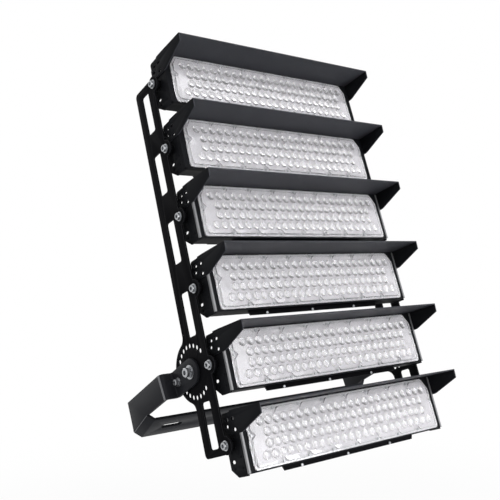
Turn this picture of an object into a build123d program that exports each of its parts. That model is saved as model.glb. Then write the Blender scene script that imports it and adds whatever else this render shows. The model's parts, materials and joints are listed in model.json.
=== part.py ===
from build123d import *
from math import cos, sin, radians
import os

os.makedirs("parts", exist_ok=True)

# Six-module LED floodlight on a folded yoke. Lengths are millimetres, angles are degrees.
# +X runs across the light, -Y is the side that the lenses face and +Z is up.
# The origin is the middle of the outer face of the yoke's crossbar, where the light is bolted on.

# Stack of modules between the side plates
module_count = 6
module_pitch = 130.0
stack_lean = 20.7

# Side plates, with a lobe round each module bolt and a disc round the yoke bolt
plate_thickness = 3.0
plate_depth = 65.0
plate_top = 12.0
plate_bottom = 14.0
plate_corner = 8.0
lobe_radius = 15.0
yoke_level = 5
yoke_setback = 53.0
disc_rim = 10.5
disc_blend = 16.0
ring_radius = 43.5
ring_hole_radius = 3.5
ring_count = 24
ring_gap = 38.0
window_width = 24.0
window_length = 77.0
window_inset = 21.0
window_corner = 4.0
window_rise = 3.0
top_window_drop = 5.0
low_window_drop = 1.5

# Socket screws that the modules tilt on, with a spacer inside the plate and a nut in the bracket
screw_radius = 4.0
screw_head_radius = 7.0
screw_head_height = 7.0
screw_socket_radius = 3.6
screw_socket_depth = 4.0
nut_radius = 7.5
nut_height = 6.0
spacer_radius = 9.0
spacer_length = 9.7
bolt_clearance = 0.1
turning_gap = 0.3

# Module housing: a shallow tray with cooling fins behind it
tray_length = 460.0
tray_height = 100.0
tray_depth = 8.0
tray_corner = 4.0
tray_back = 20.0
sink_length = 382.0
sink_base = 6.0
fin_count = 24
fin_thickness = 2.4
fin_depth = 44.0
fin_height = 92.0
fin_taper = 16.0

# Lens cover and the board of light sources under it
lens_length = 442.0
lens_height = 95.0
lens_depth = 10.0
lens_wall = 3.0
lens_corner = 8.0
lens_edge = 2.0
board_thickness = 1.6
board_gap = 4.0

# End brackets of a module, with eight fixing holes and a tab behind the tray
bracket_thickness = 3.0
bracket_back = 13.0
bracket_front = 25.0
bracket_drop = 2.0
bracket_chamfer = 13.0
bracket_top_chamfer = 6.0
tab_width = 16.0
tab_height = 30.0
fixing_radius = 2.5
fixing_front = 17.0
fixing_back = -5.0
fixing_far = 38.5
fixing_near_front = 21.0
fixing_near_back = 27.3

# Glare visor, one folded sheet with a wing at each end
visor_thickness = 2.0
visor_rear = 11.0
visor_reach = 95.0
visor_droop = 2.5
wing_tip = 16.0
wing_back = -8.0
wing_low = 14.0
wing_knee = 36.0
wing_round = 22.0
wing_corner = 5.0

# Folded yoke
yoke_thickness = 5.0
yoke_width = 45.0
yoke_dip = 31.0
yoke_gap = 0.5
jog_place = 57.0
jog_out = 24.3
bend_radius = 3.0
arm_reach = 192.0
foot_start = 136.0
foot_width = 62.0
foot_turn = 9.5
foot_bevel = 12.0
foot_bend = 2.0
foot_lap = 4.0
slot_length = 44.0
slot_width = 13.0
slot_from_bevel = 49.0

# Bolts of the yoke: the one that the light turns on and the one that locks it
yoke_bolt_radius = 6.0
yoke_head_radius = 9.5
yoke_head_height = 10.0
yoke_socket_radius = 5.0
yoke_socket_depth = 5.5
yoke_washer_radius = 13.0
yoke_washer = 2.5
yoke_nut_radius = 10.0
yoke_nut_height = 7.0
lock_radius = 3.2
lock_head_radius = 6.5
lock_head_height = 8.0
lock_socket_radius = 3.4
lock_socket_depth = 4.5
lock_washer_radius = 8.0
lock_washer = 1.6


def direction(degrees):
    """Unit vector in the upright plane, counted from +Y towards +Z."""
    return Vector(0, cos(radians(degrees)), sin(radians(degrees)))


FORWARD = direction(180 - stack_lean)
UPWARD = direction(90 - stack_lean)
ALONG_ARM = direction(-yoke_dip)
ACROSS_ARM = direction(-yoke_dip - 90)
ALONG_FOOT = direction(-yoke_dip - foot_turn)
OUT_OF_FOOT = direction(-yoke_dip - foot_turn - 90)

# The crossbar folds out of the arm along a line, given here as seen from the yoke bolt
yoke_half = yoke_width / 2
fold_start = ALONG_ARM * foot_start + ACROSS_ARM * yoke_half
fold_end = fold_start + ALONG_FOOT * foot_width
YOKE_BOLT = (fold_start + fold_end) * -0.5 - OUT_OF_FOOT * foot_bevel

# Faces along X, counted from the middle plane outwards
bracket_inner = tray_length / 2
bracket_outer = bracket_inner + bracket_thickness
wing_outer = bracket_outer + visor_thickness
spacer_inner = bracket_outer + turning_gap
plate_inner = spacer_inner + spacer_length
plate_outer = plate_inner + plate_thickness
arm_inner = plate_outer + yoke_gap
arm_outer = arm_inner + yoke_thickness
foot_inner = arm_inner + jog_out
foot_outer = foot_inner + yoke_thickness

# Heights and depths inside a module, counted from its own screw
tray_half = tray_height / 2
tray_front = tray_back + tray_depth
sink_back = tray_back - sink_base
fin_back = sink_back - fin_depth
bracket_bottom = -tray_half - bracket_drop
visor_top = tray_half + visor_thickness
fixing_points = [
    (fixing_front, fixing_far),
    (fixing_back, fixing_far),
    (fixing_back, fixing_near_back),
    (fixing_front, fixing_near_front),
]

# Ring of locking holes round the yoke bolt, one of them behind the locking bolt
disc_radius = ring_radius + disc_rim
ring_level = (1 - yoke_level) * module_pitch
lock_turn = 180 - stack_lean + yoke_dip
ring_turns = [lock_turn + step * 360 / ring_count for step in range(ring_count)]
ring_turns = [turn for turn in ring_turns if abs((turn + 180) % 360 - 180) > ring_gap]


def module_pivot(number):
    """Where module 1 (top) to 6 (bottom) turns, on the middle plane of the light."""
    return YOKE_BOLT + FORWARD * yoke_setback + UPWARD * ((yoke_level - number) * module_pitch)


def upright(x, origin):
    """Plane across X that faces -X; its own X points forward and its own Y up the stack."""
    return Plane(origin=(x, origin.Y, origin.Z), x_dir=FORWARD, z_dir=(-1, 0, 0))


def facing(origin, forward):
    """Plane that faces out of the stack, with its own X along X and its own Y up the stack."""
    return Plane(origin=origin + FORWARD * forward, x_dir=(1, 0, 0), z_dir=FORWARD)


def beside_yoke(x):
    """Plane across X that faces -X at the yoke bolt; its own X runs along the arm."""
    return Plane(origin=(x, YOKE_BOLT.Y, YOKE_BOLT.Z), x_dir=ALONG_ARM, z_dir=(-1, 0, 0))


def keep(builder, name):
    builder.part.label = name
    export_step(builder.part, f"parts/{name}.step")


def make_side_plate(side):
    """Flat side plate; side is -1 for the left one and 1 for the right one."""
    plate_length = plate_top + (module_count - 1) * module_pitch + plate_bottom
    window_tops = [window_rise - level * module_pitch for level in range(yoke_level - 1)]
    window_tops[0] = -top_window_drop
    window_tops.append(window_length - low_window_drop - (module_count - 1) * module_pitch)
    with BuildPart() as plate:
        with BuildSketch(upright(side * plate_inner, module_pivot(1))):
            with Locations((-plate_depth / 2, plate_top - plate_length / 2)):
                RectangleRounded(plate_depth, plate_length, plate_corner)
            with Locations((-yoke_setback, ring_level)):
                Circle(disc_radius)
            with Locations((disc_radius / 2, ring_level)):
                Rectangle(disc_radius, 2 * disc_radius, mode=Mode.SUBTRACT)
            rear_edge = vertices().filter_by(lambda v: abs(v.X + plate_depth) < 0.01)
            disc_ends = rear_edge.filter_by(lambda v: abs(v.Y - ring_level) < disc_radius)
            fillet(disc_ends, disc_blend)
            with Locations(*[(0, -level * module_pitch) for level in range(module_count)]):
                Circle(lobe_radius)
                Circle(screw_radius + bolt_clearance, mode=Mode.SUBTRACT)
            with Locations((-yoke_setback, ring_level)):
                Circle(yoke_bolt_radius + bolt_clearance, mode=Mode.SUBTRACT)
                for turn in ring_turns:
                    with PolarLocations(ring_radius, 1, start_angle=turn):
                        Circle(ring_hole_radius, mode=Mode.SUBTRACT)
            for top in window_tops:
                with Locations((-window_inset - window_width / 2, top - window_length / 2)):
                    RectangleRounded(window_width, window_length, window_corner, mode=Mode.SUBTRACT)
        extrude(amount=-side * plate_thickness)
    return plate


def make_module_bolts(side):
    """The screws on one side, each with its head outside the plate and its nut in the bracket."""
    nut_face = bracket_inner - turning_gap
    nut_end = nut_face - nut_height
    head_face = plate_outer + screw_head_height
    with BuildPart() as bolts:
        for number in range(1, module_count + 1):
            pivot = module_pivot(number)
            with BuildSketch(upright(side * plate_outer, pivot)):
                Circle(screw_head_radius)
            extrude(amount=-side * screw_head_height)
            with BuildSketch(upright(side * nut_end, pivot)):
                Circle(screw_radius)
            extrude(amount=-side * (plate_outer - nut_end))
            with BuildSketch(upright(side * nut_end, pivot)):
                RegularPolygon(nut_radius, 6)
            extrude(amount=-side * nut_height)
            with BuildSketch(upright(side * head_face, pivot)):
                RegularPolygon(screw_socket_radius, 6)
            extrude(amount=side * screw_socket_depth, mode=Mode.SUBTRACT)
    return bolts


def make_spacers(side):
    """Round spacers on one side that hold the brackets clear of the plate."""
    with BuildPart() as spacers:
        for number in range(1, module_count + 1):
            with BuildSketch(upright(side * spacer_inner, module_pivot(number))):
                Circle(spacer_radius)
                Circle(screw_radius + bolt_clearance, mode=Mode.SUBTRACT)
            extrude(amount=-side * spacer_length)
    return spacers


def make_housing(number):
    """Tray that carries the lens, with the fins of the heat sink behind it."""
    pivot = module_pivot(number)
    fin_pitch = (sink_length - fin_thickness) / (fin_count - 1)
    fin_places = [fin_pitch * (step - (fin_count - 1) / 2) for step in range(fin_count)]
    half = fin_height / 2
    with BuildPart() as housing:
        with BuildSketch(facing(pivot, tray_back)):
            RectangleRounded(tray_length, tray_height, tray_corner)
        extrude(amount=tray_depth)
        with BuildSketch(facing(pivot, sink_back)):
            Rectangle(sink_length, fin_height)
        extrude(amount=sink_base)
        with BuildSketch(*[upright(place, pivot) for place in fin_places]):
            with BuildLine():
                Polyline(
                    (sink_back, half),
                    (fin_back + fin_taper, half),
                    (fin_back, half - fin_taper),
                    (fin_back, fin_taper - half),
                    (fin_back + fin_taper, -half),
                    (sink_back, -half),
                    close=True,
                )
            make_face()
        extrude(amount=fin_thickness / 2, both=True)
    return housing


def make_lens(number):
    """Hollow clear cover over the light sources, with its upper corners cut off."""
    pivot = module_pivot(number)
    with BuildPart() as lens:
        with BuildSketch(facing(pivot, tray_front)):
            Rectangle(lens_length, lens_height)
            chamfer(vertices().group_by(Axis.Y)[-1], lens_corner)
            fillet(vertices().group_by(Axis.Y)[0], lens_corner)
        extrude(amount=lens_depth)
        front = faces().sort_by(Axis((0, 0, 0), FORWARD))[-1]
        chamfer(front.edges(), lens_edge)
        with BuildSketch(facing(pivot, tray_front)):
            Rectangle(lens_length - 2 * lens_wall, lens_height - 2 * lens_wall)
            chamfer(vertices(), lens_corner)
        extrude(amount=lens_depth - lens_wall, mode=Mode.SUBTRACT)
    return lens


def make_board(number):
    """Circuit board on the tray, inside the lens cover."""
    inset = 2 * (lens_wall + board_gap)
    with BuildPart() as board:
        with BuildSketch(facing(module_pivot(number), tray_front)):
            RectangleRounded(lens_length - inset, lens_height - inset, lens_corner)
        extrude(amount=board_thickness)
    return board


def make_brackets(number):
    """End brackets that hold the tray and turn on the module screws."""
    pivot = module_pivot(number)
    with BuildPart() as brackets:
        with BuildSketch(upright(bracket_inner, pivot)):
            with BuildLine():
                Polyline(
                    (bracket_front, tray_half),
                    (bracket_top_chamfer - bracket_back, tray_half),
                    (-bracket_back, tray_half - bracket_chamfer),
                    (-bracket_back, bracket_bottom + bracket_chamfer),
                    (0, bracket_bottom),
                    (bracket_front, bracket_bottom),
                    close=True,
                )
            make_face()
            Circle(screw_radius + bolt_clearance, mode=Mode.SUBTRACT)
            with Locations(*fixing_points, *[(x, -y) for x, y in fixing_points]):
                Circle(fixing_radius, mode=Mode.SUBTRACT)
        extrude(amount=-bracket_thickness)
        with BuildSketch(facing(pivot, tray_back)):
            with Locations((bracket_inner - tab_width / 2, 0)):
                Rectangle(tab_width, tab_height)
        extrude(amount=-bracket_thickness)
        mirror(about=Plane.YZ)
    return brackets


def make_visor(number):
    """Folded sheet over the lens: a top panel and a pierced wing at each end."""
    pivot = module_pivot(number)
    with BuildPart() as visor:
        with BuildSketch(upright(wing_outer, pivot)):
            with BuildLine():
                Polyline(
                    (visor_rear, visor_top),
                    (tray_front, visor_top),
                    (visor_reach, visor_top - visor_droop),
                    (visor_reach, tray_half - visor_droop),
                    (tray_front, tray_half),
                    (visor_rear, tray_half),
                    close=True,
                )
            make_face()
        extrude(amount=2 * wing_outer)
        with BuildSketch(upright(bracket_outer, pivot)):
            with BuildLine():
                FilletPolyline(
                    (visor_rear, tray_half),
                    (visor_rear, visor_top),
                    (tray_front, visor_top),
                    (visor_reach, visor_top - visor_droop),
                    (visor_reach - 1, visor_top - visor_droop - wing_tip),
                    (wing_knee, wing_low),
                    (wing_back, wing_low),
                    (wing_back, tray_half),
                    close=True,
                    radius=[0, 0, 0, 0, 0, wing_round, wing_corner, wing_corner],
                )
            make_face()
            with Locations(*fixing_points):
                Circle(fixing_radius, mode=Mode.SUBTRACT)
        extrude(amount=-visor_thickness)
        mirror(about=Plane.YZ)
    return visor


def make_yoke():
    """Arms that step outwards past the plates, joined by a crossbar folded from the same sheet."""
    outer_bend = bend_radius + yoke_thickness
    jog_back = jog_place + yoke_thickness
    jog_plane = Plane(origin=YOKE_BOLT, x_dir=ALONG_ARM, z_dir=ACROSS_ARM)
    foot_plane = Plane(origin=YOKE_BOLT + fold_start, x_dir=(1, 0, 0), z_dir=ALONG_FOOT)
    crossbar_face = Plane(origin=(0, 0, 0), x_dir=(1, 0, 0), z_dir=OUT_OF_FOOT)
    with BuildPart() as yoke:
        with BuildSketch(jog_plane):
            with BuildLine():
                FilletPolyline(
                    (-yoke_half, arm_inner),
                    (jog_back, arm_inner),
                    (jog_back, foot_inner),
                    (arm_reach + foot_width, foot_inner),
                    radius=[outer_bend, bend_radius],
                )
                offset(amount=yoke_thickness, side=Side.LEFT)
            make_face()
        extrude(amount=foot_start, both=True)
        with BuildSketch(beside_yoke(foot_outer)):
            with BuildLine():
                Polyline(
                    (0, -yoke_half),
                    (arm_reach, -yoke_half),
                    (fold_end.dot(ALONG_ARM), fold_end.dot(ACROSS_ARM)),
                    (foot_start, yoke_half),
                    (0, yoke_half),
                    close=True,
                )
            make_face()
            Circle(yoke_half)
            Circle(yoke_bolt_radius + bolt_clearance, mode=Mode.SUBTRACT)
            with Locations((ring_radius, 0)):
                Circle(lock_radius + bolt_clearance, mode=Mode.SUBTRACT)
        extrude(amount=foot_outer - arm_inner, mode=Mode.INTERSECT)
        mirror(about=Plane.YZ)
        with BuildSketch(foot_plane):
            with BuildLine():
                FilletPolyline(
                    (-foot_outer, -foot_lap),
                    (-foot_outer, 0),
                    (foot_bevel - foot_outer, foot_bevel),
                    (foot_outer - foot_bevel, foot_bevel),
                    (foot_outer, 0),
                    (foot_outer, -foot_lap),
                    radius=foot_bend,
                )
                offset(amount=yoke_thickness, side=Side.RIGHT)
            make_face()
        extrude(amount=foot_width)
        slot_place = foot_outer - foot_bevel - slot_from_bevel
        with BuildSketch(crossbar_face):
            with Locations((-slot_place, 0), (slot_place, 0)):
                SlotOverall(slot_length, slot_width)
        extrude(amount=-yoke_thickness, mode=Mode.SUBTRACT)
    return yoke


def make_yoke_bolts():
    """Socket screws that the light turns on, with washers and with nuts inside the plates."""
    nut_face = plate_inner - turning_gap
    nut_end = nut_face - yoke_nut_height
    head_start = arm_outer + yoke_washer
    with BuildPart() as bolts:
        with BuildSketch(beside_yoke(arm_outer)):
            Circle(yoke_washer_radius)
        extrude(amount=-yoke_washer)
        with BuildSketch(beside_yoke(head_start)):
            Circle(yoke_head_radius)
        extrude(amount=-yoke_head_height)
        with BuildSketch(beside_yoke(nut_end)):
            Circle(yoke_bolt_radius)
        extrude(amount=nut_end - arm_outer)
        with BuildSketch(beside_yoke(nut_end)):
            RegularPolygon(yoke_nut_radius, 6)
        extrude(amount=-yoke_nut_height)
        with BuildSketch(beside_yoke(head_start + yoke_head_height)):
            RegularPolygon(yoke_socket_radius, 6)
        extrude(amount=yoke_socket_depth, mode=Mode.SUBTRACT)
        mirror(about=Plane.YZ)
    return bolts


def make_lock_bolts():
    """Smaller socket screws through the arms, each in line with one hole of the ring."""
    head_start = arm_outer + lock_washer
    lock_place = YOKE_BOLT + ALONG_ARM * ring_radius
    with BuildPart() as bolts:
        with BuildSketch(upright(arm_outer, lock_place)):
            Circle(lock_washer_radius)
        extrude(amount=-lock_washer)
        with BuildSketch(upright(head_start, lock_place)):
            Circle(lock_head_radius)
        extrude(amount=-lock_head_height)
        with BuildSketch(upright(arm_inner, lock_place)):
            Circle(lock_radius)
        extrude(amount=-yoke_thickness)
        with BuildSketch(upright(head_start + lock_head_height, lock_place)):
            RegularPolygon(lock_socket_radius, 6)
        extrude(amount=lock_socket_depth, mode=Mode.SUBTRACT)
        mirror(about=Plane.YZ)
    return bolts


keep(make_yoke(), "yoke")
keep(make_yoke_bolts(), "yoke_bolts")
keep(make_lock_bolts(), "lock_bolts")

sides = {"left": -1, "right": 1}
for name, side in sides.items():
    keep(make_side_plate(side), f"side_plate_{name}")
    keep(make_module_bolts(side), f"module_bolts_{name}")
    keep(make_spacers(side), f"spacers_{name}")

for number in range(1, module_count + 1):
    keep(make_housing(number), f"housing_{number}")
    keep(make_lens(number), f"lens_{number}")
    keep(make_board(number), f"led_board_{number}")
    keep(make_brackets(number), f"brackets_{number}")
    keep(make_visor(number), f"visor_{number}")
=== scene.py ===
# %% [markdown]
# # Six-module LED floodlight on a folded yoke
# Six long LED modules hang between two pierced side plates, and a folded steel yoke carries the plates.
# The engineering model is loaded first, as a fixed frame. The lesson then dresses it: sheet metal gets the
# rounded, powder-coated edges of real cut plate, the screws get their sockets and washers, and each module
# gets the moulded lens cover that people notice first.

# %% Tools and the frame
import json
import math

import bmesh
import bpy
from mathutils import Matrix, Vector


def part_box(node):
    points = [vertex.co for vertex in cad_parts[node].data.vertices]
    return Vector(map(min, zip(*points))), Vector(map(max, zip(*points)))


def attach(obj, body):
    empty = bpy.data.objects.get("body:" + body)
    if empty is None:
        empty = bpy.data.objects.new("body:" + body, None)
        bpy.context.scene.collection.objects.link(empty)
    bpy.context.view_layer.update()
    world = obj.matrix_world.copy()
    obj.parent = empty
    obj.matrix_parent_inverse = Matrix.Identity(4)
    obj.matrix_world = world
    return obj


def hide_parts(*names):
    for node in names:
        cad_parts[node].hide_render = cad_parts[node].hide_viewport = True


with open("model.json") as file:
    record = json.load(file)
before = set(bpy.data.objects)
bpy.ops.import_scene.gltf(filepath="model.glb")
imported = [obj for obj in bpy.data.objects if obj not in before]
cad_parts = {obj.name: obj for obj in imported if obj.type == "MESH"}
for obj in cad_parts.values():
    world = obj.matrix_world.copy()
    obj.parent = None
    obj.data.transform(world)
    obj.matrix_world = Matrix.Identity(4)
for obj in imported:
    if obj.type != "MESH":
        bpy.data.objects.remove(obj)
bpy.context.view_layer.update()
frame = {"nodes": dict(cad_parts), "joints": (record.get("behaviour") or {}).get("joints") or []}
scene = bpy.context.scene
MM = 0.001

# %% [markdown]
# ## Where everything is
# The six modules turn on screws that lie on one leaning line. Two of those places give the whole layout:
# the direction up the stack, the direction that the lenses face, and a small frame of axes for each module
# with its X along the light, its Y up the stack and its Z out of the lens. Working in these axes means that
# one lens can be modelled lying flat and then be set into all six modules.

# %% Axes of the stack
MODULES = range(1, 7)
joints = {joint["name"]: joint for joint in frame["joints"]}


def pivot(number):
    """Where a module turns, on the middle plane of the light."""
    return Vector(joints[f"module_{number}_tilt"]["pos_m"])


ACROSS = Vector((1, 0, 0))
UPWARD = (pivot(1) - pivot(6)).normalized()
FORWARD = ACROSS.cross(UPWARD)
YOKE_BOLT = Vector(joints["frame_tilt"]["pos_m"])


def axes(x_axis, y_axis, z_axis, origin):
    """Matrix that sets a shape modelled on plain axes into its place on the light."""
    return Matrix.Translation(origin) @ Matrix((x_axis, y_axis, z_axis)).transposed().to_4x4()


def module_axes(number):
    """X along the light, Y up the stack, Z out of the lens, from the module's own screws."""
    return axes(ACROSS, UPWARD, FORWARD, pivot(number))


lean = math.degrees(math.atan2(-UPWARD.y, UPWARD.z))
print("lean of the stack in degrees:", round(lean, 2))

# %% [markdown]
# ## The camera
# The picture was taken from the left, a little under two metres away, at about the height of the middle of
# the light. Verticals stay nearly parallel, so the camera looks level, and the light's far end is only a
# little smaller than its near end, which a normal lens of about 52 mm gives.

# %% Camera
LENS = 51.73
SENSOR = 36.0
CAMERA_PLACE = Vector((-0.89856, -1.13724, 0.33591))
CAMERA_AIM = Vector((0.6054, 0.7959, -0.0106))

camera_data = bpy.data.cameras.new("camera")
camera_data.lens = LENS
camera_data.sensor_width = SENSOR
camera_data.clip_start = 0.05
camera_data.clip_end = 60.0
camera = bpy.data.objects.new("camera", camera_data)
scene.collection.objects.link(camera)
camera.location = CAMERA_PLACE
camera.rotation_mode = "QUATERNION"
camera.rotation_quaternion = CAMERA_AIM.to_track_quat("-Z", "Y")
scene.camera = camera
scene.view_settings.view_transform = "Standard"
print("camera is", round((CAMERA_PLACE - pivot(3)).length, 3), "m from the third module")

# %% [markdown]
# ## A way to write materials
# Colours are easiest to think about as they look on a screen, so they are written as sRGB hex values and one
# function turns them into the linear values that light is worked out with. A second function adds a node with
# its settings and its links, so that each material below reads as a short recipe. No real surface has one
# flat colour, so two more functions make a noise and let the colour move between two close tones with it.

# %% Colour and node helpers


def colour(code, alpha=1.0):
    """Linear colour from an sRGB hex value such as "1a1b1d"."""
    channels = [int(code[place : place + 2], 16) / 255 for place in (0, 2, 4)]
    linear = [value / 12.92 if value <= 0.04045 else ((value + 0.055) / 1.055) ** 2.4 for value in channels]
    return (*linear, alpha)


def new_tree(name):
    """A new material and its emptied node tree."""
    made = bpy.data.materials.new(name)
    made.use_nodes = True
    made.node_tree.nodes.clear()
    return made, made.node_tree


def add(tree, kind, settings, sockets):
    """Adds a node. A socket takes a plain value, or (node, output) for a link."""
    made = tree.nodes.new(kind)
    for key, value in settings.items():
        setattr(made, key, value)
    for key, value in sockets.items():
        if isinstance(value, tuple) and isinstance(value[0], bpy.types.Node):
            tree.links.new(value[0].outputs[value[1]], made.inputs[key])
        else:
            made.inputs[key].default_value = value
    return made


def grain(tree, size, detail):
    """Noise in the object's own coordinates, with grains of about the size given."""
    place = add(tree, "ShaderNodeTexCoord", {}, {})
    return add(
        tree, "ShaderNodeTexNoise", {}, {"Vector": (place, "Object"), "Scale": 1 / size, "Detail": detail}
    )


def two_tones(tree, pattern, dark, light):
    """Colour that moves between two close tones with a pattern."""
    return add(
        tree,
        "ShaderNodeMix",
        {"data_type": "RGBA"},
        {"Factor": (pattern, "Fac"), "A": colour(dark), "B": colour(light)},
    )


def mottled_material(name, size, detail, dark, light, **settings):
    """A material of two close tones; the other settings go to its shader."""
    made, tree = new_tree(name)
    tone = two_tones(tree, grain(tree, size, detail), dark, light)
    shader = add(tree, "ShaderNodeBsdfPrincipled", {}, {"Base Color": (tone, "Result"), **settings})
    add(tree, "ShaderNodeOutputMaterial", {}, {"Surface": (shader, "BSDF")})
    return made


# %% [markdown]
# ## Studio
# The light is held by its yoke, so it hangs clear of the floor. The floor and the world are white to the
# camera and in reflections, as in a white product booth, while the light that falls on the object comes at a
# plain level from broad panels overhead, in front, low down and behind, and from the walls around. A small
# lamp on the left draws the edges.

# %% World


def white_rays(tree):
    """1 for a ray of the camera, a reflection or clear plastic, and 0 for the light that falls on things."""
    rays = add(tree, "ShaderNodeLightPath", {}, {})
    total = (rays, "Is Camera Ray")
    for output in ("Is Glossy Ray", "Is Transmission Ray"):
        summed = add(
            tree, "ShaderNodeMath", {"operation": "ADD", "use_clamp": True}, {0: total, 1: (rays, output)}
        )
        total = (summed, "Value")
    return total


world = bpy.data.worlds.new("white booth")
world.use_nodes = True
scene.world = world
tree = world.node_tree
tree.nodes.clear()
WALL_LIGHT = 0.35
wall_level = add(
    tree, "ShaderNodeMapRange", {}, {"Value": white_rays(tree), "To Min": WALL_LIGHT, "To Max": 1.0}
)
background = add(
    tree, "ShaderNodeBackground", {}, {"Color": colour("ffffff"), "Strength": (wall_level, "Result")}
)
add(tree, "ShaderNodeOutputWorld", {}, {"Surface": (background, "Background")})
print("walls light the object at", WALL_LIGHT)

# %% Floor
FLOOR_LEVEL = -0.42
FLOOR_SIZE = 9.0
FLOOR_SHADOW_SHARE = 0.2
SHADOW_FULL_TO = 0.4
SHADOW_GONE_AT = 1.6

bm = bmesh.new()
bmesh.ops.create_grid(bm, x_segments=1, y_segments=1, size=FLOOR_SIZE)
bmesh.ops.translate(bm, verts=bm.verts, vec=(0, 0, FLOOR_LEVEL))
floor_mesh = bpy.data.meshes.new("floor")
bm.to_mesh(floor_mesh)
bm.free()
floor = bpy.data.objects.new("floor", floor_mesh)
scene.collection.objects.link(floor)

floor_material, tree = new_tree("matt white floor")
place = add(tree, "ShaderNodeTexCoord", {}, {})
distance = add(
    tree, "ShaderNodeVectorMath", {"operation": "DISTANCE"}, {0: (place, "Object"), 1: (0, 0, FLOOR_LEVEL)}
)
near = add(
    tree,
    "ShaderNodeMapRange",
    {"interpolation_type": "SMOOTHSTEP"},
    {
        "Value": (distance, "Value"),
        "From Min": SHADOW_FULL_TO,
        "From Max": SHADOW_GONE_AT,
        "To Min": 1 - FLOOR_SHADOW_SHARE,
        "To Max": 1.0,
    },
)
white_share = add(
    tree, "ShaderNodeMath", {"operation": "MULTIPLY"}, {0: white_rays(tree), 1: (near, "Result")}
)
paint = add(tree, "ShaderNodeBsdfDiffuse", {}, {"Color": colour("f4f4f4")})
glow = add(tree, "ShaderNodeEmission", {}, {"Color": colour("ffffff"), "Strength": 1.0})
surface = add(
    tree,
    "ShaderNodeMixShader",
    {},
    {0: (white_share, "Value"), 1: (paint, "BSDF"), 2: (glow, "Emission")},
)
add(tree, "ShaderNodeOutputMaterial", {}, {"Surface": (surface, "Shader")})
floor_mesh.materials.append(floor_material)

# %% Lamps


def soft_panel(name, place, target, width, power):
    """A square lamp, mostly a broad one, that points at a place on the light."""
    data = bpy.data.lights.new(name, "AREA")
    data.shape = "SQUARE"
    data.size = width
    data.energy = power
    made = bpy.data.objects.new(name, data)
    scene.collection.objects.link(made)
    made.location = place
    made.rotation_mode = "QUATERNION"
    made.rotation_quaternion = (Vector(target) - Vector(place)).to_track_quat("-Z", "Y")
    return made


middle = (pivot(1) + pivot(6)) / 2
soft_panel("overhead panel", (0.2, -0.6, 2.4), middle, 1.8, 24)
soft_panel("front panel", (0.7, -2.4, 0.9), middle, 1.6, 22)
soft_panel("low fill panel", (0.9, -2.2, -0.1), middle, 1.0, 20)
soft_panel("rear panel", (0.6, 2.4, 1.0), middle, 1.6, 30)
soft_panel("left key lamp", (-1.9, -1.6, 1.6), middle, 0.3, 5)

# %% [markdown]
# ## Black powder coat
# The plates, the yoke, the brackets and the visors are sheet metal, painted with a dry powder that is baked
# until it flows. That leaves a satin black film with a faint orange-peel texture, and the film pulls thin on
# cut edges, which shine a little more. The peel is really under a millimetre across. It is drawn at two
# millimetres here so that it still shows at the size of the picture. Each kind of part has its own pair of
# close blacks, because the plates are more matt than the folded sheet.

# %% Powder-coated metal
PEEL_SIZE = 2.0 * MM
PEEL_STRENGTH = 0.12
PEEL_DEPTH = 0.1 * MM
CLOUD_SIZE = 70 * MM
SHEEN_SPREAD = 0.07


def powder_coat(name, dark, light, roughness, gloss):
    """Satin baked paint: two close blacks, a fine peel in the bump and slow clouds in the roughness."""
    made, tree = new_tree(name)
    clouds = grain(tree, CLOUD_SIZE, 3.0)
    peel = grain(tree, PEEL_SIZE, 2.0)
    tone = two_tones(tree, clouds, dark, light)
    low, high = roughness - SHEEN_SPREAD, roughness + SHEEN_SPREAD
    sheen = add(tree, "ShaderNodeMapRange", {}, {"Value": (clouds, "Fac"), "To Min": low, "To Max": high})
    relief = add(
        tree,
        "ShaderNodeBump",
        {},
        {"Height": (peel, "Fac"), "Strength": PEEL_STRENGTH, "Distance": PEEL_DEPTH},
    )
    shader = add(
        tree,
        "ShaderNodeBsdfPrincipled",
        {},
        {
            "Base Color": (tone, "Result"),
            "Roughness": (sheen, "Result"),
            "Specular IOR Level": gloss,
            "Normal": (relief, "Normal"),
        },
    )
    add(tree, "ShaderNodeOutputMaterial", {}, {"Surface": (shader, "BSDF")})
    return made


plate_coat = powder_coat("matt powder-coated steel plate", "0e0e10", "141417", 0.6, 0.02)
yoke_coat = powder_coat("powder-coated folded steel", "222327", "2a2b2f", 0.46, 0.08)
sheet_coat = powder_coat("powder-coated aluminium sheet", "36373c", "404146", 0.46, 0.08)
# The brackets' own matt coat, which on the visor wings is painted shade.
bracket_coat_and_wing_shade = powder_coat("matt bracket coat, also painted shade on visor wings", "17181b", "202124", 0.55, 0.04)
edge_coat = powder_coat("thin powder coat on a cut edge", "26272a", "303236", 0.36, 0.25)
casting_coat = powder_coat("powder-coated aluminium casting", "121316", "1b1c1f", 0.55, 0.06)
# A pale coat: a painted highlight on the bracket lips of the lower modules.
painted_highlight_coat = powder_coat("front edge coat, paler as a painted highlight", "7a7b7e", "8e8f92", 0.3, 0.8)
# A pale coat that paints a highlight on the yoke's folds.
fold_highlight_coat = powder_coat("coat on a fold, paler as a painted highlight", "6c6d71", "7c7d81", 0.3, 0.6)
print("coats:", plate_coat.name, "/", sheet_coat.name, "/", casting_coat.name)

# %% [markdown]
# ## Sheet metal with real edges
# Laser-cut and folded sheet never has a razor edge: deburring and paint round it to a few tenths of a
# millimetre, and that thin line catches the light and lets black plates read against each other. The frame's
# own plates have perfectly sharp edges, so a copy of each is cleaned into flat faces, its hard edges are
# bevelled, and the copy stands for the node.

# %% Rounded copies of the sheet-metal nodes
FLAT_ANGLE = math.radians(0.4)
HARD_ANGLE = math.radians(32)


def link_piece(name, mesh, body):
    """Makes an object of a finished mesh and lets it ride with a body."""
    made = bpy.data.objects.new(name, mesh)
    scene.collection.objects.link(made)
    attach(made, body)
    return made


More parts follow.
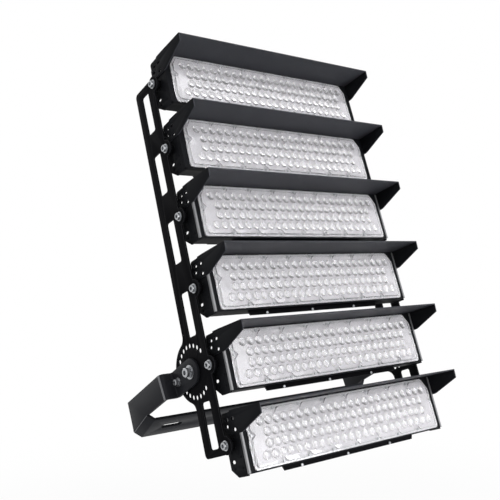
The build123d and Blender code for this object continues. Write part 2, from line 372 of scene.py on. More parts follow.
def round_edges(made, width):
    """Rounds the hard edges of a piece; the rounded strips take its second material."""
    bevel = made.modifiers.new("rounded edges", "BEVEL")
    bevel.width = width
    bevel.segments = 2
    bevel.profile = 0.5
    bevel.limit_method = "ANGLE"
    bevel.angle_limit = HARD_ANGLE
    bevel.harden_normals = True
    bevel.use_clamp_overlap = True
    bevel.material = 1


def rounded_copy(node, body, width, coat, edge, reshape=None):
    """A copy of a node with its hard edges rounded, which stands for the node."""
    bm = bmesh.new()
    bm.from_mesh(frame["nodes"][node].data)
    bmesh.ops.remove_doubles(bm, verts=bm.verts, dist=0.005 * MM)
    bmesh.ops.dissolve_limit(bm, angle_limit=FLAT_ANGLE, verts=bm.verts, edges=bm.edges)
    if reshape:
        reshape(bm)
        bmesh.ops.dissolve_limit(bm, angle_limit=FLAT_ANGLE, verts=bm.verts, edges=bm.edges)
    for face in bm.faces:
        face.smooth = True
        face.material_index = 0
    mesh = bpy.data.meshes.new(f"{node}_finish")
    bm.to_mesh(mesh)
    bm.free()
    mesh.materials.append(coat)
    mesh.materials.append(edge)
    made = link_piece(f"{node}_finish", mesh, body)
    round_edges(made, width)
    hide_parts(node)
    return made


# %% [markdown]
# ## Slots and the ring of holes
# The brackets and the visor wings are bolted together through slots, and light shows through them. The frame
# has them as round holes, so the copies get their real form: the vertices round a hole are moved to the
# outline of a slot, and a hole that the real bracket doesn't have is merged to a point on each face. The ring
# of holes in the side plates is opened a little in the same way.

# %% Moving the vertices of holes
HOLE_REACH = 2.7 * MM
SLOT_WIDTH = 5.5 * MM
MIDDLE_SHARE = 0.05
RING_RADIUS = 43.5 * MM
RING_STEP = math.radians(15)
RING_REACH = 3.7 * MM
RING_OPENING = 1.22
YOKE_DIP = math.radians(31)


def at_hole(bm, inverse, forward, up):
    """Vertices round a hole, with their places in the module's own axes."""
    placed = [(vert, inverse @ vert.co) for vert in bm.verts]
    return [
        (vert, place)
        for vert, place in placed
        if math.hypot(place.z - forward, place.y - up) < HOLE_REACH
    ]


def close_hole(bm, inverse, forward, up):
    """Merges a hole to one point on each face of the sheet."""
    while found := at_hole(bm, inverse, forward, up):
        level = round(found[0][1].x, 5)
        ring = [vert for vert, place in found if round(place.x, 5) == level]
        if len(ring) < 3:
            break
        centre = sum((vert.co for vert in ring), Vector()) / len(ring)
        bmesh.ops.pointmerge(bm, verts=ring, merge_co=centre)
    bmesh.ops.delete(bm, geom=[edge for edge in bm.edges if edge.is_wire], context="EDGES")


def stretch_hole(bm, inverse, old, new, length):
    """Turns a round hole into a slot that lies along the sheet, about a new middle."""
    matrix = inverse.inverted()
    for vert, place in at_hole(bm, inverse, *old):
        out = Vector((place.z - old[0], place.y - old[1])).normalized()
        straight = 0 if abs(out.x) < MIDDLE_SHARE else math.copysign((length - SLOT_WIDTH) / 2, out.x)
        forward = new[0] + out.x * SLOT_WIDTH / 2 + straight
        vert.co = matrix @ Vector((place.x, new[1] + out.y * SLOT_WIDTH / 2, forward))


def widen_ring(bm):
    """Opens the ring of locking holes in a side plate."""
    for vert in bm.verts:
        arm = Vector((vert.co.y - YOKE_BOLT.y, vert.co.z - YOKE_BOLT.z))
        if abs(arm.length - RING_RADIUS) < RING_REACH:
            turn = round((math.atan2(arm.y, arm.x) + YOKE_DIP) / RING_STEP) * RING_STEP - YOKE_DIP
            centre = Vector((math.cos(turn), math.sin(turn))) * RING_RADIUS
            opened = centre + (arm - centre) * RING_OPENING
            vert.co.y = YOKE_BOLT.y + opened.x
            vert.co.z = YOKE_BOLT.z + opened.y


# %% Slots of a module
UPPER_SLOTS = [
    ((17 * MM, 38.5 * MM), (15.5 * MM, 38.5 * MM), 12 * MM),
    ((-5 * MM, 38.5 * MM), (0 * MM, 38.5 * MM), 11 * MM),
    ((-5 * MM, 27.3 * MM), (-4 * MM, 28 * MM), 11 * MM),
    ((17 * MM, 21 * MM), (15.5 * MM, 21 * MM), 12 * MM),
]
LOWER_SLOT = ((-5 * MM, -27.3 * MM), (-7 * MM, -27.5 * MM), 11 * MM)
CLOSED_HOLES = [(17 * MM, -38.5 * MM), (-5 * MM, -38.5 * MM), (17 * MM, -21 * MM)]
BRACKET_REAR = -12.9 * MM
WING_REAR = -2.9 * MM
BACK_SHIFT = 4 * MM


def shift_back(bm, inverse, limit, slots):
    """Moves the rear edge of a sheet further back and leaves the holes near it."""
    matrix = inverse.inverted()
    holes = [vert for old, new, length in slots for vert, place in at_hole(bm, inverse, *old)]
    for vert in bm.verts:
        place = inverse @ vert.co
        if place.z < limit and vert not in holes:
            place.z -= BACK_SHIFT
            vert.co = matrix @ place


def module_reshape(number, closed, rear, slots):
    """The changes to one module's sheet: closed holes, a deeper rear edge, and slots."""
    inverse = module_axes(number).inverted()

    def reshape(bm):
        for forward, up in closed:
            close_hole(bm, inverse, forward, up)
        shift_back(bm, inverse, rear, slots)
        for old, new, length in slots:
            stretch_hole(bm, inverse, old, new, length)

    return reshape


# %% [markdown]
# ## The copies
# The outer faces of the yoke's folds get a paler coat, a painted highlight on the bends. The wings of a
# visor, the faces that look along the light, get the brackets' darker coat as painted shade.

# %% The copies
EDGE_YOKE = 0.7 * MM
EDGE_PLATE = 0.5 * MM
EDGE_SHEET = 0.35 * MM
FOLD_FROM = 274.7 * MM
FOLD_TURN = (0.1, 0.999)
WING_TURN = 0.99
yoke = rounded_copy("yoke", "yoke", EDGE_YOKE, yoke_coat, edge_coat)
# The outer fold faces take the paler coat as a painted highlight.
yoke.data.materials.append(fold_highlight_coat)
for polygon in yoke.data.polygons:
    if abs(polygon.center.x) > FOLD_FROM and FOLD_TURN[0] < abs(polygon.normal.x) < FOLD_TURN[1]:
        polygon.material_index = 2
for side in ("left", "right"):
    rounded_copy(f"side_plate_{side}", "frame", EDGE_PLATE, plate_coat, edge_coat, widen_ring)
for number in MODULES:
    body = f"module_{number}"
    bracket_shape = module_reshape(number, CLOSED_HOLES, BRACKET_REAR, UPPER_SLOTS + [LOWER_SLOT])
    visor_shape = module_reshape(number, [], WING_REAR, UPPER_SLOTS)
    rounded_copy(f"brackets_{number}", body, EDGE_SHEET, bracket_coat_and_wing_shade, edge_coat, bracket_shape)
    visor = rounded_copy(
        f"visor_{number}", body, EDGE_SHEET, sheet_coat, edge_coat, visor_shape
    )
    # Faces that look along the light take the darker coat as painted shade.
    visor.data.materials.append(bracket_coat_and_wing_shade)
    for polygon in visor.data.polygons:
        if abs(polygon.normal.x) > WING_TURN:
            polygon.material_index = 2

# %% [markdown]
# ## The housing and its cooling fins
# The housing is one aluminium casting: a shallow tray that carries the cover, a rim that runs back from its
# two long edges, and between them a base with nine fins along the module. A casting needs draft, so each fin
# is thinner at its tip than at its root, and the outer fins are shorter. A fin is a cube whose far face is
# drawn together, and unions make one solid of it all.

# %% Blocks and unions


def block(bm, low, high):
    """A closed block between two corners; its vertices come back so that they can be shaped."""
    verts = bmesh.ops.create_cube(bm, size=1.0)["verts"]
    bmesh.ops.scale(bm, verts=verts, vec=Vector(high) - Vector(low))
    bmesh.ops.translate(bm, verts=verts, vec=(Vector(high) + Vector(low)) / 2)
    return verts


def round_off(bm, parts, reach, segments, affect="EDGES"):
    """Rounds edges of a shape, or the corners of a flat outline when it affects vertices."""
    bmesh.ops.bevel(
        bm,
        geom=parts,
        offset=reach,
        offset_type="OFFSET",
        segments=segments,
        profile=0.5,
        affect=affect,
        material=-1,
    )


def keep_object(bm, name):
    """Ends a bmesh and keeps it as an object for a boolean."""
    bmesh.ops.recalc_face_normals(bm, faces=bm.faces)
    mesh = bpy.data.meshes.new(name)
    bm.to_mesh(mesh)
    bm.free()
    made = bpy.data.objects.new(name, mesh)
    scene.collection.objects.link(made)
    return made


def joined(base, others):
    """The mesh of a base after the others are added to it or cut from it; all of them are then deleted."""
    for other, operation in others:
        cut = base.modifiers.new(other.name, "BOOLEAN")
        cut.object = other
        cut.operation = operation
        cut.solver = "EXACT"
    bpy.context.view_layer.update()
    graph = bpy.context.evaluated_depsgraph_get()
    mesh = bpy.data.meshes.new_from_object(base.evaluated_get(graph))
    for item in [base] + [other for other, operation in others]:
        bpy.data.objects.remove(item)
    return mesh


def place_copies(name, source, places, body, slot, *materials):
    """One piece that holds a copy of a shape at each place."""
    bm = bmesh.new()
    for matrix in places:
        first = len(bm.verts)
        bm.from_mesh(source)
        bm.verts.ensure_lookup_table()
        bmesh.ops.transform(bm, matrix=matrix, verts=bm.verts[first:])
    mesh = bpy.data.meshes.new(name)
    bm.to_mesh(mesh)
    bm.free()
    mesh.materials.clear()
    for material in materials:
        mesh.materials.append(material)
    mesh.set_sharp_from_angle(angle=HARD_ANGLE)
    return link_piece(name, mesh, body)


# %% Tray, base and fins
TRAY_HALF = Vector((230 * MM, 50 * MM, 0))
TRAY_BACK = 20 * MM
TRAY_FRONT = 28 * MM
TRAY_CORNER = 4 * MM
RIM_WALL = 2.5 * MM
RIM_BACK = -2 * MM
SINK_HALF = 191 * MM
SINK_HEIGHT = 94 * MM
SINK_BACK = 14 * MM
FIN_COUNT = 9
FIN_ROOT = 3.6 * MM
FIN_NARROWING = 0.57
FIN_TIP = -30 * MM
SHORT_FROM = 30 * MM
OVERLAP = 0.5 * MM
EDGE_CASTING = 0.4 * MM


def housing_mesh():
    """The casting in a module's own axes, with the lens side towards +Z."""
    bm = bmesh.new()
    low = Vector((-TRAY_HALF.x, -TRAY_HALF.y, TRAY_BACK))
    block(bm, low, Vector((TRAY_HALF.x, TRAY_HALF.y, TRAY_FRONT)))
    corners = [edge for edge in bm.edges if abs(edge.verts[0].co.z - edge.verts[1].co.z) > OVERLAP]
    round_off(bm, corners, TRAY_CORNER, 4)
    tray = keep_object(bm, "tray")
    bm = bmesh.new()
    for up in (-1, 1):
        rim = TRAY_HALF.y - RIM_WALL / 2
        block(
            bm,
            (-TRAY_HALF.x, up * rim - RIM_WALL / 2, RIM_BACK),
            (TRAY_HALF.x, up * rim + RIM_WALL / 2, TRAY_BACK + 2 * OVERLAP),
        )
    rims = keep_object(bm, "rims")
    bm = bmesh.new()
    half = SINK_HEIGHT / 2
    block(bm, (-SINK_HALF, -half, SINK_BACK), (SINK_HALF, half, TRAY_BACK + OVERLAP))
    base = keep_object(bm, "sink base")
    bm = bmesh.new()
    pitch = (SINK_HEIGHT - FIN_ROOT) / (FIN_COUNT - 1)
    for step in range(FIN_COUNT):
        up = pitch * (step - (FIN_COUNT - 1) / 2)
        tip = FIN_TIP + max(0, abs(up) - SHORT_FROM)
        low = Vector((-SINK_HALF + OVERLAP, -FIN_ROOT / 2, tip))
        fin = block(bm, low, Vector((SINK_HALF - OVERLAP, FIN_ROOT / 2, SINK_BACK + OVERLAP)))
        far = [vert for vert in fin if vert.co.z < tip + OVERLAP]
        bmesh.ops.scale(bm, verts=far, vec=(1, FIN_NARROWING, 1))
        bmesh.ops.translate(bm, verts=fin, vec=(0, up, 0))
    fins = keep_object(bm, "fins")
    return joined(tray, [(base, "UNION"), (fins, "UNION"), (rims, "UNION")])


housing = housing_mesh()
for polygon in housing.polygons:
    polygon.use_smooth = True
for number in MODULES:
    body = f"module_{number}"
    piece = place_copies(
        f"housing_{number}_finish",
        housing,
        [module_axes(number)],
        body,
        "black_casting",
        casting_coat,
        edge_coat,
    )
    round_edges(piece, EDGE_CASTING)
    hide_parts(f"housing_{number}")
print("faces of a housing:", len(housing.polygons))

# %% [markdown]
# ## Front lips of the brackets
# Each end bracket is folded over the front of the tray as a narrow lip. On the lower four modules the lip
# gets a pale coat, a painted highlight beside the cover.

# %% Lips
LIP_INNER = 229.3 * MM
LIP_STEP = 230.1 * MM
LIP_OUTER = 233 * MM
LIP_HALF = 49 * MM
LIP_ROOT = 25 * MM
LIP_BACK = 28.1 * MM
LIP_FRONT = 29.1 * MM
PAINTED_HIGHLIGHT_FROM = 3
EDGE_SMALL = 0.3 * MM

bm = bmesh.new()
for side in (-1, 1):
    xs = sorted((side * LIP_INNER, side * LIP_OUTER))
    block(bm, (xs[0], -LIP_HALF, LIP_BACK), (xs[1], LIP_HALF, LIP_FRONT))
lips = keep_object(bm, "lips")
bm = bmesh.new()
for side in (-1, 1):
    xs = sorted((side * LIP_STEP, side * LIP_OUTER))
    block(bm, (xs[0], -LIP_HALF, LIP_ROOT), (xs[1], LIP_HALF, LIP_BACK + OVERLAP))
lip_mesh = joined(lips, [(keep_object(bm, "lip roots"), "UNION")])
for number in MODULES:
    # From the third module down, the lips take the pale coat as a painted highlight.
    lip_coat = painted_highlight_coat if number >= PAINTED_HIGHLIGHT_FROM else bracket_coat_and_wing_shade
    piece = place_copies(
        f"bracket_lips_{number}", lip_mesh, [module_axes(number)], f"module_{number}", "black_steel", lip_coat
    )
    piece.data.materials.append(lip_coat)
    round_edges(piece, EDGE_SMALL)
print("faces of a pair of lips:", len(lip_mesh.polygons))

# %% [markdown]
# ## The strip under the tray
# A flat strip hangs under the middle of each tray, and its lower corners are cut. Three small screws with
# bright heads, made further down, hold it.

# %% Lower strip
STRIP_HALF = 160 * MM
STRIP_TOP = -46.5 * MM
STRIP_BOTTOM = -57.5 * MM
STRIP_BACK = 15.5 * MM
STRIP_FRONT = 17.5 * MM
STRIP_CORNER = 5 * MM
STRIP_SCREWS = [-118 * MM, -12 * MM, 94 * MM]
STRIP_SCREW_UP = -55 * MM

bm = bmesh.new()
strip = block(bm, (-STRIP_HALF, STRIP_BOTTOM, STRIP_BACK), (STRIP_HALF, STRIP_TOP, STRIP_FRONT))
low_ends = [vert for vert in strip if vert.co.y < STRIP_BOTTOM + OVERLAP]
bmesh.ops.scale(bm, verts=low_ends, vec=(1 - STRIP_CORNER / STRIP_HALF, 1, 1))
strip_mesh = bpy.data.meshes.new("lower strip")
bm.to_mesh(strip_mesh)
bm.free()
for number in MODULES:
    piece = place_copies(
        f"lower_strip_{number}",
        strip_mesh,
        [module_axes(number)],
        f"module_{number}",
        "black_steel",
        plate_coat,
        edge_coat,
    )
    round_edges(piece, EDGE_SMALL)
print("strips under the trays:", len(MODULES))

# %% [markdown]
# ## Stainless screws
# The modules tilt on stainless socket screws, and the side plates turn in the yoke on larger ones. A turned
# head has a chamfered rim and a hexagonal socket with a cone at its bottom. Under it lies a flat washer, and
# on the yoke a split spring washer too. The head is a short tube whose top is bridged to a hexagon, and the
# hexagon is pushed down.

# %% Stainless steel
steel, tree = new_tree("turned stainless steel")
turning = grain(tree, 0.8 * MM, 2.0)
steel_tone = two_tones(tree, turning, "8f9194", "c4c6c9")
steel_gloss = add(
    tree, "ShaderNodeMapRange", {}, {"Value": (turning, "Fac"), "To Min": 0.24, "To Max": 0.42}
)
shader = add(
    tree,
    "ShaderNodeBsdfPrincipled",
    {},
    {"Base Color": (steel_tone, "Result"), "Roughness": (steel_gloss, "Result"), "Metallic": 1.0},
)
add(tree, "ShaderNodeOutputMaterial", {}, {"Surface": (shader, "BSDF")})
print("steel for the screws:", steel.name)

# %% Socket screw
TURNED_SIDES = 32
RIM_SHARE = 0.12
DRILL_TIP_SHARE = 0.4
SPRING_LIFT = 0.5
SPRING_TURN = math.radians(350)


def socket_head(bm, base, radius, height, socket, depth):
    """A round head on Z with a chamfered rim and a hexagonal socket, closed below."""
    top = base + height
    rim = radius * RIM_SHARE
    lower = bmesh.ops.create_circle(bm, cap_ends=True, segments=TURNED_SIDES, radius=radius)["verts"]
    bmesh.ops.translate(bm, verts=lower, vec=(0, 0, base))
    foot = next(face for face in lower[0].link_faces)
    wall = bmesh.ops.extrude_face_region(bm, geom=[foot])["geom"]
    upper = [item for item in wall if isinstance(item, bmesh.types.BMVert)]
    bmesh.ops.translate(bm, verts=upper, vec=(0, 0, height - rim))
    cap = next(item for item in wall if isinstance(item, bmesh.types.BMFace))
    bmesh.ops.inset_region(bm, faces=[cap], thickness=rim, depth=0.0)
    bmesh.ops.translate(bm, verts=cap.verts, vec=(0, 0, rim))
    rim_edges = list(cap.edges)
    bmesh.ops.delete(bm, geom=[cap], context="FACES_ONLY")
    hexagon = bmesh.ops.create_circle(bm, cap_ends=True, segments=6, radius=socket)["verts"]
    bmesh.ops.translate(bm, verts=hexagon, vec=(0, 0, top))
    floor_face = next(face for face in hexagon[0].link_faces)
    hexagon_edges = list(floor_face.edges)
    sunk = bmesh.ops.extrude_face_region(bm, geom=[floor_face])["geom"]
    sunk_verts = [item for item in sunk if isinstance(item, bmesh.types.BMVert)]
    sunk_face = next(item for item in sunk if isinstance(item, bmesh.types.BMFace))
    bmesh.ops.translate(bm, verts=sunk_verts, vec=(0, 0, -depth))
    if floor_face.is_valid:
        bmesh.ops.delete(bm, geom=[floor_face], context="FACES_ONLY")
    bmesh.ops.bridge_loops(bm, edges=rim_edges + hexagon_edges)
    tip = bmesh.ops.poke(bm, faces=[sunk_face])["verts"]
    bmesh.ops.translate(bm, verts=tip, vec=(0, 0, -socket * DRILL_TIP_SHARE))


def washer(bm, base, inner, outer, height, split=False):
    """A flat ring on Z. A split one is a spring washer: its ring is cut and its ends spring apart."""
    turn = SPRING_TURN if split else math.tau
    section = bmesh.ops.create_grid(bm, x_segments=1, y_segments=1, size=0.5)["verts"]
    for vert in section:
        out = (inner + outer) / 2 + vert.co.x * (outer - inner)
        vert.co = Vector((out, 0, base + height * (0.5 + vert.co.y)))
    face = next(item for item in section[0].link_faces)
    lift = Vector((0, 0, height * SPRING_LIFT / TURNED_SIDES)) if split else Vector()
    geometry = list(face.edges) + list(face.verts)
    if split:
        geometry.append(face)
    else:
        bmesh.ops.delete(bm, geom=[face], context="FACES_ONLY")
    bmesh.ops.spin(
        bm,
        geom=geometry,
        cent=(0, 0, 0),
        axis=(0, 0, 1),
        dvec=lift,
        angle=turn,
        steps=TURNED_SIDES,
        use_merge=not split,
        use_duplicate=False,
    )


def shank_and_nut(bm, radius, length, nut_radius, nut_height):
    """The plain shank below the plate's face, and the hexagon nut at its end."""
    shank = bmesh.ops.create_cone(
        bm, cap_ends=True, segments=24, radius1=radius, radius2=radius, depth=length
    )
    bmesh.ops.translate(bm, verts=shank["verts"], vec=(0, 0, -length / 2))
    if nut_height:
        nut = bmesh.ops.create_cone(
            bm, cap_ends=True, segments=6, radius1=nut_radius, radius2=nut_radius, depth=nut_height
        )
        bmesh.ops.translate(bm, verts=nut["verts"], vec=(0, 0, nut_height / 2 - length))


def screw_mesh(name, head, socket, washers, shank):
    """A socket screw that stands on a plate at height 0, with its black washers under the head."""
    bm = bmesh.new()
    level = 0.0
    for inner, outer, height, split in washers:
        washer(bm, level, inner, outer, height, split)
        level += height * (1 + SPRING_LIFT if split else 1)
    for face in bm.faces:
        face.material_index = 1
    steel_start = len(bm.faces)
    socket_head(bm, level, *head, *socket)
    shank_and_nut(bm, *shank)
    bm.faces.ensure_lookup_table()
    for face in bm.faces[steel_start:]:
        face.material_index = 0
    for face in bm.faces:
        face.smooth = True
    bmesh.ops.remove_doubles(bm, verts=bm.verts, dist=0.001 * MM)
    bmesh.ops.recalc_face_normals(bm, faces=bm.faces)
    made = bpy.data.meshes.new(name)
    bm.to_mesh(made)
    bm.free()
    return made


def outward(side, x, origin):
    """Axes whose Z points out of the light's left side (-1) or right side (1)."""
    return axes(FORWARD * -side, UPWARD, ACROSS * side, Vector((side * x, origin.y, origin.z)))


# %% Screws that the modules tilt on
plate_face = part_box("side_plate_right")[1].x
nut_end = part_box("module_bolts_right")[0].x
module_screw = screw_mesh(
    "module_screw",
    head=(6.2 * MM, 5 * MM),
    socket=(3.5 * MM, 4 * MM),
    washers=[(4.1 * MM, 8.2 * MM, 1.2 * MM, False)],
    shank=(4 * MM, plate_face - nut_end, 7.5 * MM, 6 * MM),
)
for side, name in ((-1, "left"), (1, "right")):
    places = [outward(side, plate_face, pivot(number)) for number in MODULES]
    screws = place_copies(
        f"module_screws_{name}", module_screw, places, "frame", "bolt_steel", steel, edge_coat
    )
    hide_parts(f"module_bolts_{name}")
print("triangles in a module screw:", sum(len(face.vertices) - 2 for face in module_screw.polygons))

# %% Screws of the yoke
HEAD_STACK = 12.5 * MM
YOKE_NUT_END = 236 * MM
yoke_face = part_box("yoke_bolts")[1].x - HEAD_STACK
lock_place = YOKE_BOLT + Vector((0, math.cos(YOKE_DIP), -math.sin(YOKE_DIP))) * RING_RADIUS
yoke_screw = screw_mesh(
    "yoke_screw",
    head=(8 * MM, 7 * MM),
    socket=(4.4 * MM, 5 * MM),
    washers=[(6.2 * MM, 12 * MM, 1.8 * MM, False), (6.2 * MM, 9.6 * MM, 1.6 * MM, True)],
    shank=(6 * MM, yoke_face - YOKE_NUT_END, 10 * MM, 7 * MM),
)
lock_screw = screw_mesh(
    "lock_screw",
    head=(5.2 * MM, 5 * MM),
    socket=(2.8 * MM, 3.4 * MM),
    washers=[(3.4 * MM, 8 * MM, 1.2 * MM, False), (3.4 * MM, 6.2 * MM, 1.3 * MM, True)],
    shank=(3.2 * MM, 5 * MM, 0, 0),
)
yoke_places = [outward(side, yoke_face, YOKE_BOLT) for side in (-1, 1)]
lock_places = [outward(side, yoke_face, lock_place) for side in (-1, 1)]
yoke_screws = place_copies(
    "yoke_screws", yoke_screw, yoke_places, "yoke", "bolt_steel", steel, edge_coat
)
lock_screws = place_copies(
    "lock_screws", lock_screw, lock_places, "yoke", "bolt_steel", steel, edge_coat
)
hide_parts("yoke_bolts")
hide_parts("lock_bolts")
print("yoke screws stand", round((yoke_face - plate_face) / MM, 1), "mm outside the plates")

# %% Spacers
for side in ("left", "right"):
    rounded_copy(f"spacers_{side}", "frame", EDGE_SMALL, plate_coat, edge_coat)
print("spacers carry", 2 * len(MODULES), "brackets")

# %% [markdown]
# ## Small screws
# The screws of the strip, and later those of the cover, are too small to show more than a glint and a dark
# socket. They get the same head as the large screws, without washer or shank.

# %% Screws of the lower strip


def small_screw(name, radius, height, socket, depth):
    """A socket head on its own, standing at height 0."""
    bm = bmesh.new()
    socket_head(bm, 0, radius, height, socket, depth)
    for face in bm.faces:
        face.smooth = True
    bmesh.ops.recalc_face_normals(bm, faces=bm.faces)
    made = bpy.data.meshes.new(name)
    bm.to_mesh(made)
    bm.free()
    return made


strip_screw = small_screw("strip_screw", 2.4 * MM, 1.6 * MM, 1.2 * MM, 0.8 * MM)
for number in MODULES:
    lying = module_axes(number)
    places = [lying @ Matrix.Translation((x, STRIP_SCREW_UP, STRIP_FRONT)) for x in STRIP_SCREWS]
    place_copies(f"strip_screws_{number}", strip_screw, places, f"module_{number}", "bolt_steel", steel)
print("screws on a strip:", len(STRIP_SCREWS))

# %% [markdown]
# ## The board and its light sources
# Under the cover lies a white circuit board with four rows of light sources, one below each dome. A source is
# a small white package with a square of phosphor, which is grey behind the cover while the light is off. It
# is drawn once with a few faces and repeated, because 96 of them fill a module.

# %% White board and packages
ROW_HEIGHTS = [26 * MM, 8 * MM, -10 * MM, -28 * MM]
ROW_SPANS = [196 * MM, 185 * MM, 185 * MM, 196 * MM]
DOMES_IN_ROW = 24
BOARD_TOP = 29.6 * MM


def dome_places():
    """Middle of each dome on the plane of the lens."""
    for height, span in zip(ROW_HEIGHTS, ROW_SPANS):
        for step in range(DOMES_IN_ROW):
            yield span * (2 * step / (DOMES_IN_ROW - 1) - 1), height


board_paint = mottled_material("white solder mask", 9 * MM, 2.0, "f0eff3", "fafafc", Roughness=0.4)
resin_coat = {"Roughness": 0.25, "Coat Weight": 0.6, "Coat Roughness": 0.1}
phosphor = mottled_material(
    "phosphor under clear silicone", 0.5 * MM, 1.0, "5c5b57", "747370", **resin_coat
)
PACKAGE_HALF = 2.5 * MM
PACKAGE_HEIGHT = 1.2 * MM
PACKAGE_RIM = 0.7 * MM


def source_mesh():
    """One light source: a low square package with a square of phosphor in its top."""
    bm = bmesh.new()
    block(bm, (-PACKAGE_HALF, -PACKAGE_HALF, 0), (PACKAGE_HALF, PACKAGE_HALF, PACKAGE_HEIGHT))
    top = max(bm.faces, key=lambda face: face.calc_center_median().z)
    bmesh.ops.inset_region(bm, faces=[top], thickness=PACKAGE_RIM, depth=0.0)
    top.material_index = 1
    made = bpy.data.meshes.new("light source")
    bm.to_mesh(made)
    bm.free()
    return made


source = source_mesh()
for number in MODULES:
    lying = module_axes(number)
    places = [lying @ Matrix.Translation((x, y, BOARD_TOP)) for x, y in dome_places()]
    chips = place_copies(
        f"light_sources_{number}", source, places, f"module_{number}", "white_board", board_paint
    )
    chips.data.materials.append(phosphor)
    board = frame["nodes"][f"led_board_{number}"].data
    board.materials.clear()
    board.materials.append(board_paint)
print("light sources in a module:", len(list(dome_places())))

# %% [markdown]
# ## The lens cover
# The cover is one injection moulding in clear polycarbonate. A thin flange carries small screws in notches
# along its edge, a plateau rises inside the flange and bends round every notch, and a dome stands over every
# light source. The outline needs only its corners and three points at each notch, and a bevel of those
# vertices makes all the round stretches. The domes are flattened spheres that are joined to the plateau, so
# that light passes from one into the other with no face between.

# %% Clear polycarbonate
COVER_CLARITY = 0.85
FLOW_SIZE = 6 * MM
cover_plastic, tree = new_tree("injection-moulded clear polycarbonate")
flow = grain(tree, FLOW_SIZE, 1.0)
haze = add(tree, "ShaderNodeMapRange", {}, {"Value": (flow, "Fac"), "To Min": 0.05, "To Max": 0.12})
ripple = add(
    tree,
    "ShaderNodeBump",
    {},
    {"Height": (flow, "Fac"), "Strength": 0.1, "Distance": 0.2 * MM},
)
shader = add(
    tree,
    "ShaderNodeBsdfPrincipled",
    {},
    {
        "Base Color": colour("fefdff"),
        "Roughness": (haze, "Result"),
        "IOR": 1.585,
        "Transmission Weight": COVER_CLARITY,
        "Normal": (ripple, "Normal"),
    },
)
add(tree, "ShaderNodeOutputMaterial", {}, {"Surface": (shader, "BSDF")})
print("the cover lets through", COVER_CLARITY, "of what isn't mirrored")

# %% Outline of flange and plateau
COVER_LENGTH = 442 * MM
COVER_HEIGHT = 95 * MM
CORNER_CUT = Vector((13 * MM, 20 * MM))
CORNER_ROUND = 5 * MM
COVER_BASE = 28.5 * MM
FLANGE_TOP = 30.6 * MM
PLATEAU_TOP = 34 * MM
COVER_TOP = 39.2 * MM
PLATEAU_INSET = 3.5 * MM
NOTCH_PLACES = [step * 54 * MM for step in range(-3, 4)]
NOTCH_HALF = 7 * MM
NOTCH_DEPTH = 8 * MM
NOTCH_ROUND = 2.4 * MM
NOTCH_SHAPE = ((-NOTCH_HALF, 0), (0, NOTCH_DEPTH), (NOTCH_HALF, 0))
END_NOTCH = 6 * MM


def outline(bm, inset, height, notched):
    """Face of the cover's outline, shrunk by an inset, with a notch round each screw if wanted."""
    right = COVER_LENGTH / 2 - inset
    top = COVER_HEIGHT / 2 - inset
    cut = CORNER_CUT * (1 - inset * (sum(CORNER_CUT) - CORNER_CUT.length) / math.prod(CORNER_CUT))
    lower = [Vector((-right, -top, 0))]
    upper = [Vector((right, top - cut.y, 0)), Vector((right - cut.x, top, 0))]
    if notched:
        for place in NOTCH_PLACES:
            for shift, depth in NOTCH_SHAPE:
                lower.append(Vector((place + shift, depth - top, 0)))
                upper.append(Vector((-place - shift, top - depth, 0)))
    lower.append(Vector((right, -top, 0)))
    upper += [Vector((cut.x - right, top, 0)), Vector((-right, top - cut.y, 0))]
    if notched:
        for shift, depth in NOTCH_SHAPE:
            lower.append(Vector((right - depth, END_NOTCH + shift, 0)))
            upper.append(Vector((depth - right, END_NOTCH - shift, 0)))
    points = [bm.verts.new(point + Vector((0, 0, height))) for point in lower + upper]
    bm.faces.new(points)
    after_corner = len(NOTCH_SHAPE) if notched else 0
    lower_corners = [points[0], points[len(lower) - 1 - after_corner]]
    others = [vert for vert in points if vert not in lower_corners]
    round_off(bm, lower_corners, CORNER_ROUND, 6, "VERTICES")
    round_off(bm, others, NOTCH_ROUND, 4, "VERTICES")


def slab(name, inset, low, high, notched, rim):
    """The outline as a closed slab between two heights, with its upper rim rounded by some amount."""
    bm = bmesh.new()
    outline(bm, inset, low, notched)
    bm.faces.ensure_lookup_table()
    raised = bmesh.ops.extrude_face_region(bm, geom=[bm.faces[0]])["geom"]
    upper = [item for item in raised if isinstance(item, bmesh.types.BMVert)]
    bmesh.ops.translate(bm, verts=upper, vec=(0, 0, high - low))
    if rim:
        edges = [edge for edge in bm.edges if all(abs(vert.co.z - high) < 1e-7 for vert in edge.verts)]
        round_off(bm, edges, rim, 3)
    return keep_object(bm, name)


print("notches along each long edge:", len(NOTCH_PLACES))

# %% Domes
DOME_RADIUS = 7.9 * MM


def domes_object():
    """The flattened spheres of one cover, as one object for the boolean below."""
    bm = bmesh.new()
    for x, y in dome_places():
        ball = bmesh.ops.create_uvsphere(bm, u_segments=16, v_segments=8, radius=1.0)["verts"]
        bmesh.ops.scale(bm, verts=ball, vec=(DOME_RADIUS, DOME_RADIUS, COVER_TOP - PLATEAU_TOP))
        bmesh.ops.translate(bm, verts=ball, vec=(x, y, PLATEAU_TOP))
    return keep_object(bm, "domes")


# %% Joining the cover
COVER_WALL = 2.2 * MM
LAP = 1 * MM
FLANGE_RIM = 0.6 * MM
PLATEAU_RIM = 1.2 * MM

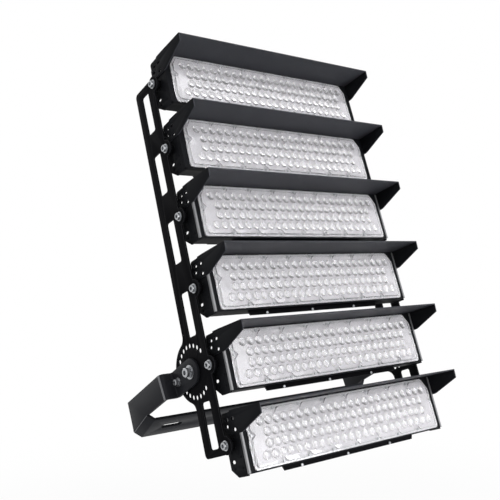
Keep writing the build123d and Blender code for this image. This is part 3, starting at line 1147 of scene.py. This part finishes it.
flange = slab("flange", 0, COVER_BASE, FLANGE_TOP, False, FLANGE_RIM)
plateau = slab("plateau", PLATEAU_INSET, COVER_BASE + LAP, PLATEAU_TOP, True, PLATEAU_RIM)
domes = domes_object()
hollow = slab("hollow", PLATEAU_INSET + COVER_WALL, COVER_BASE - LAP, PLATEAU_TOP - COVER_WALL, True, 0)
cover = joined(flange, [(plateau, "UNION"), (domes, "UNION"), (hollow, "DIFFERENCE")])
for polygon in cover.polygons:
    polygon.use_smooth = True
print("faces of a cover:", len(cover.polygons))

# %% [markdown]
# ## The seal
# White silicone lies between the tray and the cover's flange and keeps the rain out. It has the cover's
# outline, a little smaller, with room for the board cut out of its middle.

# %% Seal
SEAL_INSET = 0.8 * MM
SEAL_GAP = 0.05 * MM
BOARD_INSET = 14 * MM

silicone = mottled_material("moulded white silicone", 4 * MM, 2.0, "eef0f2", "f8f9fa", Roughness=0.6)
seal_slab = slab("seal", SEAL_INSET, TRAY_FRONT, COVER_BASE - SEAL_GAP, False, 0)
board_room = slab("board room", BOARD_INSET, TRAY_FRONT - LAP, COVER_BASE + LAP, False, 0)
seal = joined(seal_slab, [(board_room, "DIFFERENCE")])
for number in MODULES:
    place_copies(
        f"lens_seal_{number}", seal, [module_axes(number)], f"module_{number}", "white_board", silicone
    )
print("faces of a seal:", len(seal.polygons))

# %% Covers in place
for number in MODULES:
    piece = place_copies(
        f"lens_cover_{number}",
        cover,
        [module_axes(number)],
        f"module_{number}",
        "clear_lens",
        cover_plastic,
    )
    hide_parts(f"lens_{number}")
print("covers:", len(MODULES))

# %% [markdown]
# ## Screws of the lens cover
# Small stainless screws press the cover's flange on its seal, one in each notch.

# %% Cover screws
SCREW_INSET = 5 * MM
cover_screw = small_screw("cover_screw", 2.3 * MM, 1.6 * MM, 1.1 * MM, 0.8 * MM)
edge_line = COVER_HEIGHT / 2 - SCREW_INSET
end_line = COVER_LENGTH / 2 - SCREW_INSET
screw_points = [(place, edge_line * up) for place in NOTCH_PLACES for up in (-1, 1)]
screw_points += [(end_line * right, END_NOTCH) for right in (-1, 1)]
for number in MODULES:
    lying = module_axes(number)
    places = [lying @ Matrix.Translation((x, y, FLANGE_TOP)) for x, y in screw_points]
    place_copies(f"cover_screws_{number}", cover_screw, places, f"module_{number}", "bolt_steel", steel)
print("screws on a cover:", len(screw_points))
